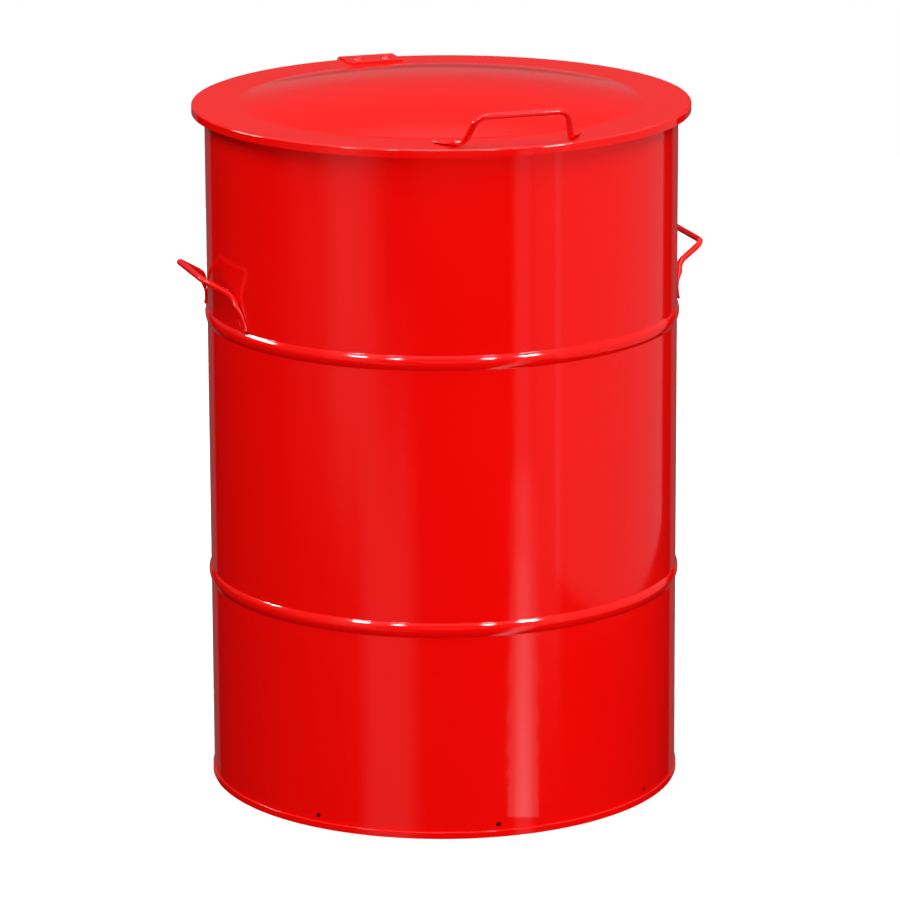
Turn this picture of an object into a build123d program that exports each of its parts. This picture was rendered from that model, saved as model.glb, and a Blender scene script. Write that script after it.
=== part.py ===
from build123d import *
import os
from math import asin, cos, degrees, radians, sin, sqrt, tan

os.makedirs("parts", exist_ok=True)

# Drum body, millimetres. +Z is up, the floor is z = 0, the drum's axis is the Z axis,
# the lid handle faces -Y and the hinge is at +Y.
body_radius = 262.5
body_sheet = 1.0
overall_rim_height = 771.0

# Rolling hoops pressed outward from the body sheet.
hoop_heights = (237.3, 535.0)
hoop_half_height = 8.6
hoop_rise = 2.5
hoop_toe_radius = 2.0

# Rolled top edge around a steel wire.
wire_radius = 2.5
wire_gap = 0.2
curl_open_angle = 50.0
lid_seat_gap = 0.3

# Base pan folded round the bottom edge of the body sheet.
base_sheet = 1.5
base_floor_height = 10.0
chime_height = 7.5
chime_corner = 0.6

# Drain holes just above the base pan.
drain_count = 8
drain_radius = 2.6
drain_height = 14.2
drain_phase = -5.0

# Lid: flat rim, shallow dome and a turned-down skirt with a hem.
lid_overhang = 14.3
lid_sheet = 1.0
lid_skirt = 9.3
lid_corner = 2.0
lid_hem_height = 4.0
lid_rim_width = 50.3
dome_rise = 22.0
dome_toe_radius = 45.0

# Bent rod handles with flattened, splayed feet. All three are the same part.
rod_radius = 3.5
foot_end_half_width = 79.0
foot_bend_half_width = 60.0
foot_run = 36.0
grip_half_width = 50.0
grip_forward = 19.5
grip_lift = 32.0
foot_bend_radius = 18.0
grip_bend_radius = 15.0
flat_half_width = 4.9
flat_half_thickness = 1.6
foot_standoff = 0.35
foot_taper_share = 0.72
heel_step = 0.05
weld_radius = 1.6
weld_bite = 0.7
weld_share = 0.55
lid_foot_inset = 52.8
hoop_to_foot = 0.8

# Butt hinge at the back.
hinge_width = 64.0
leaf_sheet = 2.0
pin_radius = 2.5
pin_running_gap = 0.05
knuckle_radius = 4.5
knuckle_gap = 0.4
knuckle_relief = 0.5
middle_knuckle = 26.0
hinge_skirt_gap = 0.5
leaf_to_dome = 11.5
body_leaf_drop = 63.0
joggle_bottom_drop = 30.0
joggle_top_drop = 14.0
pin_head_radius = 3.8
pin_head_height = 1.6

# Domed rivets through the hinge leaves.
rivet_shank = 2.5
rivet_head_radius = 6.0
rivet_head_height = 4.8
rivet_tail_radius = 4.2
rivet_tail_height = 1.2
rivet_spacing = 33.0
lid_rivet_inset = 20.7
body_rivet_drop = 49.0
rivet_tail_gap = 0.05

body_inside = body_radius - body_sheet
lid_radius = body_radius + lid_overhang
dome_base_radius = lid_radius - lid_rim_width
lid_underside = overall_rim_height - lid_sheet
curl_inner = wire_radius + wire_gap
curl_outer = curl_inner + body_sheet
curl_height = lid_underside - lid_seat_gap - curl_outer
curl_centre = body_radius + curl_inner
hinge_y = lid_radius + hinge_skirt_gap + knuckle_radius
hinge_z = overall_rim_height + leaf_sheet - knuckle_radius
lid_foot_from_axis = lid_radius - lid_foot_inset
side_foot_height = hoop_heights[1] + hoop_half_height + hoop_to_foot
lid_leaf_front = dome_base_radius + leaf_to_dome
lid_rivet_radius = lid_radius - lid_rivet_inset
body_leaf_bottom = overall_rim_height - body_leaf_drop
joggle_bottom = overall_rim_height - joggle_bottom_drop
joggle_top = overall_rim_height - joggle_top_drop
body_rivet_height = overall_rim_height - body_rivet_drop


def polar(centre, radius, angle):
    a = radians(angle)
    return (centre[0] + radius * cos(a), centre[1] + radius * sin(a))


def arc_edge(centre, radius, start, end):
    middle = (start + end) / 2
    return ThreePointArc(
        polar(centre, radius, start), polar(centre, radius, middle), polar(centre, radius, end)
    )


def wall_edges(inset):
    """The body wall from bottom to top at a depth inside the outer face."""
    reach = (hoop_half_height**2 + hoop_rise**2) / (2 * hoop_rise)
    bend = reach - hoop_toe_radius
    swing = degrees(asin(hoop_half_height / reach))
    face = body_radius - inset
    edges = []
    z = base_sheet
    for height in hoop_heights:
        low = (body_radius + hoop_toe_radius, height - hoop_half_height)
        crown = (body_radius + hoop_rise - bend, height)
        high = (body_radius + hoop_toe_radius, height + hoop_half_height)
        edges.append(Line((face, z), (face, height - hoop_half_height)))
        edges.append(arc_edge(low, hoop_toe_radius + inset, 180, 180 - swing))
        edges.append(arc_edge(crown, bend - inset, -swing, swing))
        edges.append(arc_edge(high, hoop_toe_radius + inset, 180 + swing, 180))
        z = height + hoop_half_height
    edges.append(Line((face, z), (face, curl_height)))
    return edges


def ring(edges):
    """A body of revolution from a closed outline in radius and height."""
    pieces = [edge for part in edges for edge in part.edges()]
    outline = make_face(Plane.XZ * Wire(pieces))
    return revolve(outline, Axis.Z, 360)


def write(name, shape):
    export_step(shape, f"parts/{name}.step")
    print(name, len(shape.solids()), "solid(s)", round(shape.volume), "mm3")


# Body shell.
curl = (curl_centre, curl_height)
curl_end = -180 + curl_open_angle
outer_wall = wall_edges(0)
inner_wall = wall_edges(body_sheet)
shell_outline = outer_wall + inner_wall
shell_outline.append(Line((body_inside, base_sheet), (body_radius, base_sheet)))
shell_outline.append(arc_edge(curl, curl_inner, 180, curl_end))
shell_outline.append(arc_edge(curl, curl_outer, 180, curl_end))
shell_outline.append(Line(polar(curl, curl_inner, curl_end), polar(curl, curl_outer, curl_end)))
body_shell = ring(shell_outline)


def outward(azimuth, height, distance=0.0):
    """A plane facing straight out from the drum's axis; azimuth 0 is -Y, 90 is +X."""
    a = radians(azimuth)
    out = Vector(sin(a), -cos(a), 0)
    origin = out * distance + Vector(0, 0, height)
    return Plane(origin=origin, x_dir=(cos(a), sin(a), 0), z_dir=out)


for step in range(drain_count):
    angle = drain_phase + step * 360 / drain_count
    drill = outward(angle, drain_height, body_radius - 10) * Cylinder(drain_radius, 40)
    body_shell -= drill

# Wire inside the rolled edge.
top_rim_wire = Pos(0, 0, curl_height) * Torus(curl_centre, wire_radius)

# Base pan.
pan_out = body_radius + base_sheet
pan_in = body_inside - base_sheet
base_outline = Polyline(
    (0, base_floor_height),
    (0, base_floor_height - base_sheet),
    (pan_in, base_floor_height - base_sheet),
    (pan_in, 0),
    (pan_out, 0),
    (pan_out, chime_height),
    (body_radius, chime_height),
    (body_radius, base_sheet),
    (body_inside, base_sheet),
    (body_inside, base_floor_height),
    (0, base_floor_height),
)
base_face = make_face(Plane.XZ * base_outline)
base_pan = revolve(base_face, Axis.Z, 360)
chime_edges = [
    e
    for e in base_pan.edges().filter_by(GeomType.CIRCLE)
    if e.center().Z in (0, chime_height) and abs(e.radius - pan_out) < 0.01
]
base_pan = fillet(chime_edges, chime_corner)

# Lid panel.
dome_reach = (dome_base_radius**2 + dome_rise**2) / (2 * dome_rise)
dome_radius = dome_reach - dome_toe_radius
dome_centre = (0, overall_rim_height + dome_rise - dome_radius)
toe_centre = (dome_base_radius, overall_rim_height + dome_toe_radius)
dome_slope = degrees(asin(dome_base_radius / dome_reach))
corner_centre = (lid_radius - lid_corner, overall_rim_height - lid_corner)
skirt_foot = overall_rim_height - lid_skirt
skirt_in = lid_radius - lid_sheet
hem_in = skirt_in - lid_sheet


def lid_edges(depth):
    """Dome, toe, flat rim and corner at a depth below the upper face."""
    return [
        arc_edge(dome_centre, dome_radius - depth, 90, 90 - dome_slope),
        arc_edge(toe_centre, dome_toe_radius + depth, 270 - dome_slope, 270),
        Line(
            (dome_base_radius, overall_rim_height - depth),
            (corner_centre[0], overall_rim_height - depth),
        ),
        arc_edge(corner_centre, lid_corner - depth, 90, 0),
    ]


lid_outline = lid_edges(0) + lid_edges(lid_sheet)
lid_outline.append(
    Polyline(
        (lid_radius, corner_centre[1]),
        (lid_radius, skirt_foot),
        (hem_in, skirt_foot),
        (hem_in, skirt_foot + lid_hem_height),
        (skirt_in, skirt_foot + lid_hem_height),
        (skirt_in, corner_centre[1]),
    )
)
lid_outline.append(
    Line((0, overall_rim_height + dome_rise), (0, overall_rim_height + dome_rise - lid_sheet))
)
lid_panel = ring(lid_outline)


def rounded_path(points, radii):
    """Straight runs joined by arcs of the given radii at the inner corners."""
    corners = [Vector(*p) for p in points]
    edges = []
    start = corners[0]
    for i, radius in enumerate(radii, start=1):
        before = (corners[i - 1] - corners[i]).normalized()
        after = (corners[i + 1] - corners[i]).normalized()
        half_turn = radians(before.get_angle(after)) / 2
        run = radius / tan(half_turn)
        middle_way = (before + after).normalized()
        arc_start = corners[i] + before * run
        arc_end = corners[i] + after * run
        arc_mid = corners[i] + middle_way * (radius / sin(half_turn) - radius)
        edges.append(Line(start, arc_start))
        edges.append(ThreePointArc(arc_start, arc_mid, arc_end))
        start = arc_end
    edges.append(Line(start, corners[-1]))
    return Wire(edges)


def handle_parts(surface, grip):
    """The bent rod and its two weld beads, one along the inner side of each foot.

    surface(half_width, run, lift) gives a point and the outward normal on the mounting face;
    grip(side) gives the corner of the hand grip.
    """
    tips = []
    feet = []
    bends = []
    for side in (-1, 1):
        tips.append(surface(side * foot_end_half_width, 0, foot_standoff))
        bends.append(surface(side * foot_bend_half_width, foot_run, foot_standoff))
    path_points = []
    for (tip, tip_out), (bend, bend_out) in zip(tips, bends):
        low = tip + tip_out * rod_radius
        high = bend + bend_out * rod_radius
        foot = low + (high - low) * foot_taper_share
        feet.append((tip, tip_out, foot, (high - low).normalized()))
        path_points.append((foot, high))
    left, right = path_points
    path = rounded_path(
        (left[0], left[1], grip(-1), grip(1), right[1], right[0]),
        (foot_bend_radius, grip_bend_radius, grip_bend_radius, foot_bend_radius),
    )
    rod = sweep(Plane(left[0], z_dir=path % 0) * Circle(rod_radius), path=path)
    welds = []
    middle_of_tips = (tips[0][0] + tips[1][0]) * 0.5
    for tip, tip_out, foot, along in feet:
        across = along.cross(tip_out).normalized()
        flat_centre = tip + tip_out * flat_half_thickness
        flat = Plane(flat_centre, x_dir=across, z_dir=along)
        round_end = Plane(foot, x_dir=across, z_dir=along)
        middle = flat_centre + (foot - flat_centre) * 0.72
        middle -= tip_out * (rod_radius - flat_half_thickness) * 0.55
        half_way = Plane(middle, x_dir=across, z_dir=along)
        rod += loft(
            [
                flat * Ellipse(flat_half_width, flat_half_thickness),
                half_way * Ellipse(flat_half_width * 0.97, flat_half_thickness * 1.15),
                round_end * Ellipse(rod_radius + heel_step, rod_radius + heel_step),
            ]
        )
        inward = across if across.dot(middle_of_tips - tip) > 0 else -across
        lift = weld_radius - weld_bite - foot_standoff
        start = tip + inward * flat_half_width + tip_out * lift + along * 2
        end = start + along * foot_run * weld_share
        bead = Plane(start, z_dir=along) * Cylinder(
            weld_radius, (end - start).length, align=(Align.CENTER, Align.CENTER, Align.MIN)
        )
        bead += Pos(start) * Sphere(weld_radius)
        bead += Pos(end) * Sphere(weld_radius)
        welds.append(bead)
    return rod, Compound(children=welds)


def lid_surface(half_width, run, lift):
    point = Vector(half_width, -lid_foot_from_axis - run, overall_rim_height + lift)
    return point, Vector(0, 0, 1)


def lid_grip(side):
    y = -lid_foot_from_axis - foot_run - grip_forward
    z = overall_rim_height + foot_standoff + rod_radius + grip_lift
    return Vector(side * grip_half_width, y, z)


def side_surface(azimuth):
    def surface(half_width, run, lift):
        angle = azimuth + degrees(asin(half_width / body_radius))
        face = outward(angle, side_foot_height + run, body_radius + lift)
        return face.origin, face.z_dir

    return surface


def side_grip(azimuth):
    def corner(side):
        seat = sqrt(body_radius**2 - foot_bend_half_width**2)
        reach = seat + foot_standoff + rod_radius + grip_lift
        face = outward(azimuth, side_foot_height + foot_run + grip_forward, reach)
        return face.origin + face.x_dir * side * grip_half_width

    return corner


lid_handle, lid_handle_welds = handle_parts(lid_surface, lid_grip)
right_handle, right_welds = handle_parts(side_surface(90), side_grip(90))
left_handle, left_welds = handle_parts(side_surface(-90), side_grip(-90))


def knuckle(start, end, bore):
    """A tube about the hinge axis between two X positions."""
    tube = Cylinder(knuckle_radius, end - start) - Cylinder(bore, end - start)
    return Pos((start + end) / 2, hinge_y, hinge_z) * Rot(0, 90, 0) * tube


def slab(x_low, x_high, y_low, y_high, z_low, z_high):
    size = (x_high - x_low, y_high - y_low, z_high - z_low)
    centre = ((x_high + x_low) / 2, (y_high + y_low) / 2, (z_high + z_low) / 2)
    return Pos(*centre) * Box(*size)


def around_pin(start, end, radius):
    return Pos((start + end) / 2, hinge_y, hinge_z) * Rot(0, 90, 0) * Cylinder(radius, end - start)


half_hinge = hinge_width / 2
half_middle = middle_knuckle / 2
lid_knuckle_in = half_middle + knuckle_gap
relief_radius = knuckle_radius + knuckle_relief
leaf_top = overall_rim_height + leaf_sheet

# Hinge leaf on the lid, with the two outer knuckles.
hinge_lid_leaf = slab(
    -half_hinge, half_hinge, lid_leaf_front, hinge_y, overall_rim_height, leaf_top
)
front_corners = hinge_lid_leaf.edges().filter_by(Axis.Z).sort_by(Axis.Y)[:2]
hinge_lid_leaf = fillet(front_corners, 4.0)
hinge_lid_leaf -= around_pin(-lid_knuckle_in, lid_knuckle_in, relief_radius)
for side in (-1, 1):
    ends = sorted((side * lid_knuckle_in, side * half_hinge))
    hinge_lid_leaf -= around_pin(ends[0], ends[1], knuckle_radius - 0.5)
    hinge_lid_leaf += knuckle(ends[0], ends[1], pin_radius + pin_running_gap)

# Hinge leaf on the body: curved plate on the wall, joggled out to the middle knuckle.
plate_in = hinge_y - knuckle_radius
plate_out = plate_in + leaf_sheet
wall_ring = Pos(0, 0, (body_leaf_bottom + joggle_bottom) / 2) * Cylinder(
    body_radius + leaf_sheet, joggle_bottom - body_leaf_bottom
)
hinge_body_leaf = wall_ring & slab(
    -half_hinge, half_hinge, 0, hinge_y, body_leaf_bottom, joggle_bottom
)
joggle_profile = Polyline(
    (body_radius - 6, joggle_bottom - 2),
    (body_radius + leaf_sheet, joggle_bottom - 2),
    (body_radius + leaf_sheet, joggle_bottom),
    (plate_out, joggle_top),
    (plate_out, hinge_z),
    (plate_in, hinge_z),
    (plate_in, joggle_top + 1),
    (body_radius - 6, joggle_bottom - 1),
    (body_radius - 6, joggle_bottom - 2),
)
joggle = extrude(make_face(Plane.YZ * joggle_profile), half_hinge, both=True)
hinge_body_leaf += joggle
hinge_body_leaf -= Pos(0, 0, overall_rim_height / 2) * Cylinder(
    body_radius, overall_rim_height
)
for side in (-1, 1):
    ends = sorted((side * half_middle, side * (half_hinge + 1)))
    hinge_body_leaf -= around_pin(ends[0], ends[1], relief_radius)
hinge_body_leaf -= around_pin(-half_middle, half_middle, knuckle_radius - 0.5)
hinge_body_leaf += knuckle(-half_middle, half_middle, pin_radius)

# Hinge pin with a head at each end.
pin_length = hinge_width + 2 * knuckle_gap
hinge_pin = around_pin(-pin_length / 2, pin_length / 2, pin_radius)
for side in (-1, 1):
    ends = sorted((side * pin_length / 2, side * (pin_length / 2 + pin_head_height)))
    hinge_pin += around_pin(ends[0], ends[1], pin_head_radius)
rim_edges = hinge_pin.edges().filter_by(GeomType.CIRCLE)
outer_rims = [e for e in rim_edges if abs(abs(e.center().X) - pin_length / 2) > 1]
hinge_pin = fillet(outer_rims, 1.0)


def rivet(seat, grip_thickness):
    """A domed rivet: the seat plane is under the head, facing outward."""
    cap_radius = (rivet_head_radius**2 + rivet_head_height**2) / (2 * rivet_head_height)
    cap = Pos(0, 0, rivet_head_height - cap_radius) * Sphere(cap_radius)
    head = cap & Pos(0, 0, 10) * Box(30, 30, 20)
    shank = Pos(0, 0, -grip_thickness / 2) * Cylinder(rivet_shank, grip_thickness)
    tail = Pos(0, 0, -grip_thickness - rivet_tail_height / 2) * Cylinder(
        rivet_tail_radius, rivet_tail_height
    )
    return seat * (head + shank + tail)


lid_rivets = []
body_rivets = []
for side in (-1, 1):
    x = side * rivet_spacing / 2
    seat = Plane((x, lid_rivet_radius, leaf_top))
    lid_rivets.append(rivet(seat, leaf_sheet + lid_sheet))
    hole = seat * Cylinder(rivet_shank, 20)
    hinge_lid_leaf -= hole
    lid_panel -= hole
    angle = 180 - degrees(asin(x / body_radius))
    seat = outward(angle, body_rivet_height, body_radius + leaf_sheet)
    body_rivets.append(rivet(seat, leaf_sheet + body_sheet + rivet_tail_gap))
    hole = seat * Cylinder(rivet_shank, 20)
    hinge_body_leaf -= hole
    body_shell -= hole

write("body_shell", body_shell)
write("top_rim_wire", top_rim_wire)
write("base_pan", base_pan)
write("lid_panel", lid_panel)
write("lid_handle", lid_handle)
write("lid_handle_welds", lid_handle_welds)
write("left_carry_handle", left_handle)
write("left_handle_welds", left_welds)
write("right_carry_handle", right_handle)
write("right_handle_welds", right_welds)
write("hinge_lid_leaf", hinge_lid_leaf)
write("hinge_body_leaf", hinge_body_leaf)
write("hinge_pin", hinge_pin)
write("lid_hinge_rivets", Compound(children=lid_rivets))
write("body_hinge_rivets", Compound(children=body_rivets))
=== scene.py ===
from itertools import product
from math import cos, pi, radians, sin, tan

import bpy
from mathutils import Matrix, Vector


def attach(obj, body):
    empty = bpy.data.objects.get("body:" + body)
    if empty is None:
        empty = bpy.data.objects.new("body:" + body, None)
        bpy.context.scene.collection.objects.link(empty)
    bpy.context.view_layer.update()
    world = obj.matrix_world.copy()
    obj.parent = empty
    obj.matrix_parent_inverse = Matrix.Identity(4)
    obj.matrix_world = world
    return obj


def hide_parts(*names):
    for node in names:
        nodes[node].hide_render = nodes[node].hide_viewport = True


print("loading the packed drum")
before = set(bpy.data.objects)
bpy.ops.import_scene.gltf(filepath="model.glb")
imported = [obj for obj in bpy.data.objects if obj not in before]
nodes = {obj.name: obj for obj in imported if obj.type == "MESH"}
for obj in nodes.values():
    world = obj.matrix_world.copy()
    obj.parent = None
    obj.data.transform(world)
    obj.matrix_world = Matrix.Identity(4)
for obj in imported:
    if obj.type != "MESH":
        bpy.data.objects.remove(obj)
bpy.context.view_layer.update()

# which way the drum is turned from the viewer, degrees
drumTurn = 18.0


def linear(hexColour):
    # sRGB hex to linear RGBA
    channels = [int(hexColour[i : i + 2], 16) / 255 for i in (1, 3, 5)]
    bent = [c / 12.92 if c <= 0.04045 else ((c + 0.055) / 1.055) ** 2.4 for c in channels]
    return (*bent, 1.0)


def addNode(tree, kind, settings=None, links=None):
    node = tree.nodes.new(kind)
    for name, value in (settings or {}).items():
        if name in node.inputs:
            node.inputs[name].default_value = value
        else:
            setattr(node, name, value)
    for name, source in (links or {}).items():
        tree.links.new(source, node.inputs[name])
    return node


def newMaterial(name):
    material = bpy.data.materials.new(name)
    material.use_nodes = True
    tree = material.node_tree
    tree.nodes.clear()
    return material, tree


def perMetre(millimetres):
    # noise scale for a pattern of this spacing
    return 1000 / millimetres


# Polyester powder coat, signal red, full gloss, sprayed and baked: a deep even colour, and
# a faint orange peel that only shows as a slight waver in the reflections. Sizes in mm.
powderCoat = {
    "deep": "#DF0503",
    "bright": "#E30905",
    "cloudSpacing": 111.1,
    "roughLow": 0.07,
    "roughHigh": 0.11,
    "peelSpacing": 2.381,
    "peelHeight": 0.012,
    "waverSpacing": 62.5,
    "waverHeight": 0.06,
}


def glossPowderCoat(name, look):
    material, tree = newMaterial(name)
    place = addNode(tree, "ShaderNodeTexCoord").outputs["Object"]
    cloud = addNode(
        tree,
        "ShaderNodeTexNoise",
        {"Scale": perMetre(look["cloudSpacing"]), "Detail": 3.0, "Roughness": 0.5},
        {"Vector": place},
    )
    colour = addNode(
        tree,
        "ShaderNodeMix",
        {"data_type": "RGBA"},
        {"Factor": cloud.outputs["Fac"]},
    )
    colour.inputs[6].default_value = linear(look["deep"])
    colour.inputs[7].default_value = linear(look["bright"])
    rough = addNode(
        tree,
        "ShaderNodeMapRange",
        {"To Min": look["roughLow"], "To Max": look["roughHigh"]},
        {"Value": cloud.outputs["Fac"]},
    )
    peel = addNode(
        tree,
        "ShaderNodeTexNoise",
        {"Scale": perMetre(look["peelSpacing"]), "Detail": 1.0},
        {"Vector": place},
    )
    waver = addNode(
        tree,
        "ShaderNodeTexNoise",
        {"Scale": perMetre(look["waverSpacing"]), "Detail": 0.0},
        {"Vector": place},
    )
    sheetWave = addNode(
        tree,
        "ShaderNodeBump",
        {"Strength": 1.0, "Distance": look["waverHeight"] / 1000},
        {"Height": waver.outputs["Fac"]},
    )
    skin = addNode(
        tree,
        "ShaderNodeBump",
        {"Strength": 1.0, "Distance": look["peelHeight"] / 1000},
        {"Height": peel.outputs["Fac"], "Normal": sheetWave.outputs["Normal"]},
    )
    paint = addNode(
        tree,
        "ShaderNodeBsdfPrincipled",
        {"IOR": 1.5, "Metallic": 0.0},
        {
            "Base Color": colour.outputs[2],
            "Roughness": rough.outputs["Result"],
            "Normal": skin.outputs["Normal"],
        },
    )
    addNode(tree, "ShaderNodeOutputMaterial", None, {"Surface": paint.outputs["BSDF"]})
    return material


# Drawn mild steel wire, unpainted: dull grey, with fine drawing scratches that break up its
# shine. It shows only where the top curl is open.
wireFinish = {"tone": "#8C8D8F", "scratchSpacing": 3.333, "roughLow": 0.3, "roughHigh": 0.5}


def bareWireSteel(name, look):
    material, tree = newMaterial(name)
    place = addNode(tree, "ShaderNodeTexCoord").outputs["Object"]
    scratch = addNode(
        tree,
        "ShaderNodeTexNoise",
        {"Scale": perMetre(look["scratchSpacing"]), "Detail": 2.0},
        {"Vector": place},
    )
    rough = addNode(
        tree,
        "ShaderNodeMapRange",
        {"To Min": look["roughLow"], "To Max": look["roughHigh"]},
        {"Value": scratch.outputs["Fac"]},
    )
    steel = addNode(
        tree,
        "ShaderNodeBsdfPrincipled",
        {"Base Color": linear(look["tone"]), "Metallic": 1.0},
        {"Roughness": rough.outputs["Result"]},
    )
    addNode(tree, "ShaderNodeOutputMaterial", None, {"Surface": steel.outputs["BSDF"]})
    return material


print("mixing the paint")
redPaint = glossPowderCoat("glossPowderCoatRed", powderCoat)
wireSteel = bareWireSteel("drawnSteelWire", wireFinish)


def paintNode(node, material):
    mesh = nodes[node].data
    if not mesh.materials:
        mesh.materials.append(material)
    for i in range(len(mesh.materials)):
        mesh.materials[i] = material


for node in nodes:
    paintNode(node, wireSteel if node == "top_rim_wire" else redPaint)

# The fillet welds at the handle feet, laid by hand: uneven little ripples and pits under
# the paint. Each run stands in for the smooth bead of the CAD. Sizes in mm; level is the
# share of the ripple that sinks in.
beads = {"merge": 0.01, "grain": 0.28, "rippleSize": 2.2, "rippleHeight": 0.9, "level": 0.45}
welds = {"lid_handle_welds": "lid", "left_handle_welds": "drum", "right_handle_welds": "drum"}
print("running the weld beads")
ripple = bpy.data.textures.new("weldRipple", "CLOUDS")
ripple.noise_scale = beads["rippleSize"] / 1000
ripple.noise_depth = 1


def weldBead(node, body):
    source = nodes[node]
    mesh = source.data.copy()
    mesh.transform(source.matrix_world)
    bead = bpy.data.objects.new(node.replace("_welds", "_bead"), mesh)
    bpy.context.scene.collection.objects.link(bead)
    bpy.ops.object.select_all(action="DESELECT")
    bead.select_set(True)
    bpy.context.view_layer.objects.active = bead
    bpy.ops.object.mode_set(mode="EDIT")
    bpy.ops.mesh.select_all(action="SELECT")
    bpy.ops.mesh.remove_doubles(threshold=beads["merge"] / 1000)
    bpy.ops.object.mode_set(mode="OBJECT")
    remesh = bead.modifiers.new("remesh", "REMESH")
    remesh.mode = "VOXEL"
    remesh.voxel_size = beads["grain"] / 1000
    displace = bead.modifiers.new("displace", "DISPLACE")
    displace.texture = ripple
    displace.texture_coords = "LOCAL"
    displace.strength = beads["rippleHeight"] / 1000
    displace.mid_level = beads["level"]
    bpy.ops.object.modifier_apply(modifier="remesh")
    bpy.ops.object.modifier_apply(modifier="displace")
    bpy.ops.object.shade_smooth()
    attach(bead, body)
    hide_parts(node)
    print(bead.name, len(mesh.polygons), "faces")


for node, body in welds.items():
    weldBead(node, body)

print("setting the floor and the studio")
bpy.ops.object.select_all(action="DESELECT")
studio = {
    "floorTone": "#FDFDFD",
    "floorSize": 6.0,
    "backdropTone": "#FFFFFF",
    "backdropRadius": 40.0,
}
bpy.ops.mesh.primitive_plane_add(size=studio["floorSize"], location=(0, 0, 0))
floor = bpy.context.object
floor.name = "floor"
paperFloor, tree = newMaterial("mattePaperFloor")
paper = addNode(
    tree,
    "ShaderNodeBsdfPrincipled",
    {"Base Color": linear(studio["floorTone"]), "Roughness": 0.9, "Specular IOR Level": 0.1},
)
addNode(tree, "ShaderNodeOutputMaterial", None, {"Surface": paper.outputs["BSDF"]})
floor.data.materials.append(paperFloor)
# the drum is lit and mirrored as on a dark studio floor, not from the paper
floor.visible_glossy = False
floor.visible_diffuse = False

# pale surround behind everything, only for the eye: the light comes from the room
bpy.ops.mesh.primitive_uv_sphere_add(
    segments=48, ring_count=24, radius=studio["backdropRadius"], location=(0, 0, 0)
)
backdrop = bpy.context.object
backdrop.name = "backdrop"
paleSurround, tree = newMaterial("paleSurround")
glow = addNode(
    tree, "ShaderNodeEmission", {"Color": linear(studio["backdropTone"]), "Strength": 1.0}
)
addNode(tree, "ShaderNodeOutputMaterial", None, {"Surface": glow.outputs["Emission"]})
paleSurround.cycles.emission_sampling = "NONE"
backdrop.data.materials.append(paleSurround)
backdrop.visible_diffuse = False
backdrop.visible_glossy = False
backdrop.visible_transmission = False
backdrop.visible_shadow = False

# The room round the drum: dark low down, dim walls, a bright ceiling, and upright bands
# of light, each seen only between its two heights. Angles in degrees; azimuth 0 is toward
# the viewer and positive to the viewer's right.
room = {
    "underfoot": 0.006,
    "wall": 0.11,
    "horizon": 0.5,
    "ceiling": 0.95,
    "ceilingFrom": 27.0,
    "ceilingFull": 44.0,
    "bandFoot": (-26.0, -22.0),
    "bands": [
        {"azimuth": -27.0, "flat": 6.0, "soft": 12.0, "radiance": 0.27, "rise": (-13.5, -16.0)},
        {"azimuth": -44.0, "flat": 3.5, "soft": 17.0, "radiance": 0.26, "rise": (-16.5, -14.0)},
        {"azimuth": -60.0, "flat": 8.0, "soft": 22.0, "radiance": 0.08, "rise": (-16.5, -14.0)},
        {"azimuth": 52.0, "flat": 6.0, "soft": 2.5, "radiance": 0.27, "rise": (-17.6, -16.6)},
        {"azimuth": 39.5, "flat": 2.5, "soft": 3.5, "radiance": 0.36, "rise": (12.0, 0.0)},
        {"azimuth": 180.0, "flat": 27.0, "soft": 1.5, "radiance": 0.085, "rise": (12.0, 0.0)},
    ],
}
world = bpy.data.worlds.new("studioRoom")
bpy.context.scene.world = world
world.use_nodes = True
tree = world.node_tree
tree.nodes.clear()


def calculate(operation, *values):
    node = tree.nodes.new("ShaderNodeMath")
    node.operation = operation
    for i, value in enumerate(values):
        if isinstance(value, (int, float)):
            node.inputs[i].default_value = value
        else:
            tree.links.new(value, node.inputs[i])
    return node.outputs["Value"]


def smoothStep(value, start, end, low, high):
    node = addNode(
        tree,
        "ShaderNodeMapRange",
        {
            "interpolation_type": "SMOOTHSTEP",
            "From Min": start,
            "From Max": end,
            "To Min": low,
            "To Max": high,
        },
        {"Value": value},
    )
    return node.outputs["Result"]


direction = addNode(tree, "ShaderNodeTexCoord").outputs["Generated"]
turned = addNode(
    tree,
    "ShaderNodeVectorRotate",
    {"rotation_type": "Z_AXIS", "Angle": radians(drumTurn)},
    {"Vector": direction},
)
axes = addNode(tree, "ShaderNodeSeparateXYZ", None, {"Vector": turned.outputs["Vector"]})
toward = calculate("MULTIPLY", axes.outputs["Y"], -1.0)
bearing = calculate("DEGREES", calculate("ARCTAN2", axes.outputs["X"], toward))
rise = calculate("DEGREES", calculate("ARCSINE", axes.outputs["Z"]))
horizon = room["horizon"]
light = smoothStep(rise, -horizon, horizon, room["underfoot"], room["wall"])
ceiling = smoothStep(
    rise, room["ceilingFrom"], room["ceilingFull"], 0.0, room["ceiling"] - room["wall"]
)
light = calculate("ADD", light, ceiling)
low, high = room["bandFoot"]
overFloor = smoothStep(rise, low, high, 0.0, 1.0)  # the bands don't reach underfoot
for band in room["bands"]:
    away = calculate("SUBTRACT", bearing, band["azimuth"])
    away = calculate("ABSOLUTE", calculate("WRAP", away, 180.0, -180.0))
    edge = smoothStep(away, band["flat"], band["flat"] + band["soft"], band["radiance"], 0.0)
    none, full = band["rise"]
    if none > full:
        part = smoothStep(rise, full, none, 1.0, 0.0)
    else:
        part = smoothStep(rise, none, full, 0.0, 1.0)
    part = calculate("MULTIPLY", part, overFloor)
    light = calculate("ADD", light, calculate("MULTIPLY", edge, part))
sky = addNode(tree, "ShaderNodeBackground", {"Color": (1, 1, 1, 1)}, {"Strength": light})
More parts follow.
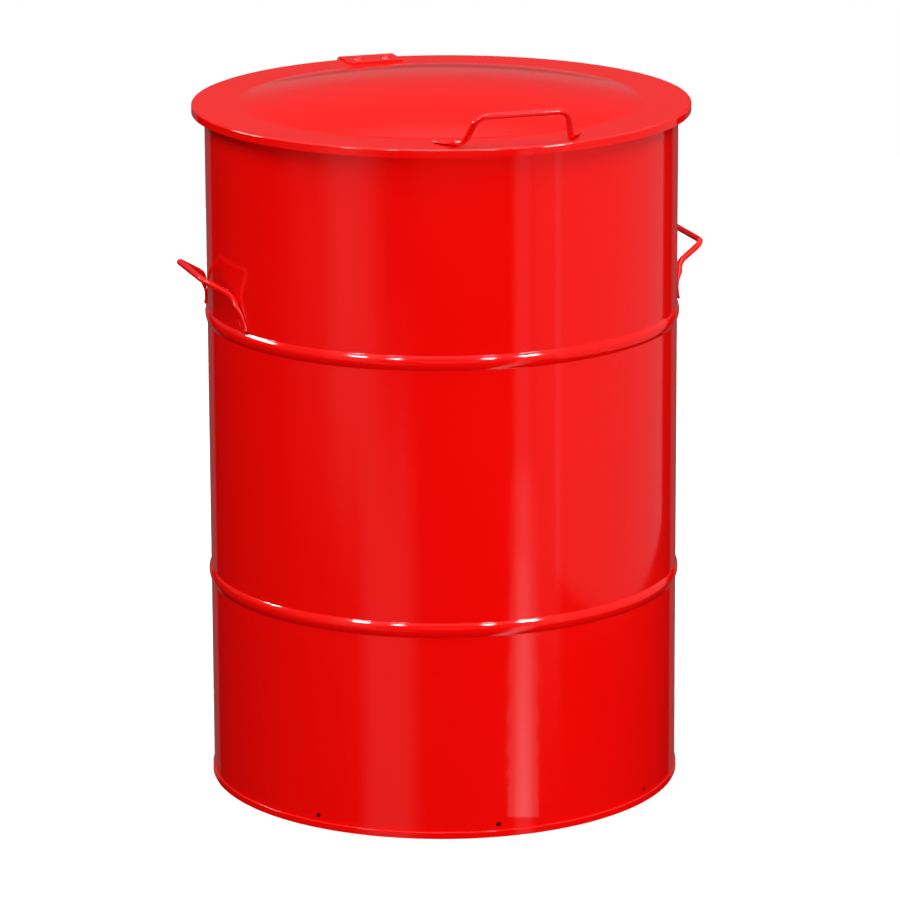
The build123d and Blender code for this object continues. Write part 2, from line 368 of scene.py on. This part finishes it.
addNode(tree, "ShaderNodeOutputWorld", None, {"Surface": sky.outputs["Background"]})


def around(azimuth, distance, height):
    a = radians(azimuth - drumTurn)
    return Vector((sin(a) * distance, -cos(a) * distance, height))


def areaLight(name, place, target, size, radiance, inGloss=True):
    lamp = bpy.data.lights.new(name, "AREA")
    lamp.shape = "RECTANGLE"
    lamp.size, lamp.size_y = size
    lamp.energy = radiance * pi * size[0] * size[1]
    box = bpy.data.objects.new(name, lamp)
    bpy.context.scene.collection.objects.link(box)
    box.location = place
    box.rotation_euler = (Vector(target) - Vector(place)).to_track_quat("-Z", "Y").to_euler()
    box.visible_camera = False
    box.visible_glossy = inGloss
    return box


middle = (0, 0, 0.40)
# broad fills that give the even body colour and don't show in the gloss
fills = [
    {"name": "lowFill", "at": (8, 3.4, 0.5), "size": (2.6, 0.6), "radiance": 14.6},
    {"name": "leftFill", "at": (-40, 3.4, 2.6), "size": (1.2, 1.6), "radiance": 2.4},
    {"name": "rightFill", "at": (42, 3.6, 1.5), "size": (1.2, 2.0), "radiance": 3.3},
    {"name": "highLeft", "at": (-85, 2.6, 3.2), "size": (2.0, 1.6), "radiance": 9.0},
    {"name": "highRight", "at": (85, 2.6, 3.2), "size": (2.0, 1.6), "radiance": 6.4},
    {"name": "backFill", "at": (180, 4.2, 1.8), "size": (3.2, 2.4), "radiance": 1.6},
    {"name": "topFill", "at": (180, 1.4, 5.5), "size": (2.4, 2.4), "radiance": 2.0},
]
for fill in fills:
    place = around(*fill["at"])
    areaLight(fill["name"], place, middle, fill["size"], fill["radiance"], inGloss=False)

# small lamps that spark on the hoops, the rods and the lid edge
lampDistance = 3.2
lamps = [
    {"azimuth": -97.0, "rise": 20.0, "size": (1.1, 0.34), "radiance": 60.0},
    {"azimuth": -41.0, "rise": 25.0, "size": (0.40, 0.40), "radiance": 90.0},
    {"azimuth": -22.0, "rise": 25.0, "size": (0.28, 0.34), "radiance": 70.0},
    {"azimuth": 22.0, "rise": 25.0, "size": (0.30, 0.34), "radiance": 70.0},
    {"azimuth": 42.0, "rise": 25.0, "size": (0.50, 0.40), "radiance": 90.0},
]
for i, lamp in enumerate(lamps):
    height = middle[2] + lampDistance * tan(radians(lamp["rise"]))
    place = around(lamp["azimuth"], lampDistance, height)
    box = areaLight(f"lamp{i}", place, middle, lamp["size"], lamp["radiance"])
    box.visible_diffuse = False

# a low panel that shows as the broad pale field on the right of the wall
panel = {"at": (88, 0.98, 0.75), "size": (1.5, 1.5), "radiance": 0.30}
place = around(*panel["at"])
areaLight("panelRight", place, (0, 0, place.z), panel["size"], panel["radiance"])

# a softbox high in front, only for the gloss: it draws the bright lines along the lid edge,
# the hoops and the rods
edgeBox = {"at": (2, 1.8, 3.5), "size": (1.6, 1.5), "radiance": 7.0}
box = areaLight("edgeBox", around(*edgeBox["at"]), middle, edgeBox["size"], edgeBox["radiance"])
box.visible_diffuse = False

# strips of light on the studio floor, narrow near the drum and wider further out, that
# draw the thin bright streak down the lower right of the wall
streak = {
    "foot": (19.1, 0.2625, 0.004),
    "toward": 39.6,
    "from": 0.045,
    "growth": 1.42,
    "count": 10,
    "width": 0.012,
    "widening": 0.085,
    "radiance": 4.0,
    "fading": 2.4,
}
halo = [(0.7, 0.45), (1.6, 0.35), (2.8, 0.20)]  # share of the width and of the light
foot = around(*streak["foot"])
for i, (wider, share) in product(range(streak["count"]), halo):
    start = streak["from"] * streak["growth"] ** i
    end = start * streak["growth"]
    centre = (start + end) / 2
    place = foot + around(streak["toward"], centre, 0)
    wide = (streak["width"] + streak["widening"] * centre) * wider
    bright = (streak["radiance"] - streak["fading"] * centre) * share
    up = place + Vector((0, 0, 1))
    box = areaLight(f"strip{i}", place, up, (wide, end - start), bright)
    box.rotation_euler = (pi, 0, radians(streak["toward"] - drumTurn))
    box.visible_diffuse = False

print("placing the camera")
# distances in metres, angles in degrees, sensor and lens in mm, shifts in picture widths
view = {
    "distance": 5.4855,
    "height": 1.8276,
    "pitch": 13.857,
    "roll": -0.278,
    "sensor": 36.0,
    "lens": 201.546,
    "shiftX": 0.00833,
    "shiftY": -0.1,
}
lens = bpy.data.cameras.new("camera")
lens.sensor_width = view["sensor"]
lens.lens = view["lens"]
lens.shift_x = view["shiftX"]
lens.shift_y = view["shiftY"]
lens.dof.use_dof = False
camera = bpy.data.objects.new("camera", lens)
bpy.context.scene.collection.objects.link(camera)
camera.location = around(0, view["distance"], view["height"])
turn = Matrix.Rotation(radians(-drumTurn), 4, "Z")
tip = Matrix.Rotation(radians(90 - view["pitch"]), 4, "X")
lean = Matrix.Rotation(radians(view["roll"]), 4, "Z")
camera.rotation_euler = (turn @ tip @ lean).to_euler()
bpy.context.scene.camera = camera

bpy.context.scene.view_settings.view_transform = "Standard"
bpy.context.scene.view_settings.look = "None"

print("finished")
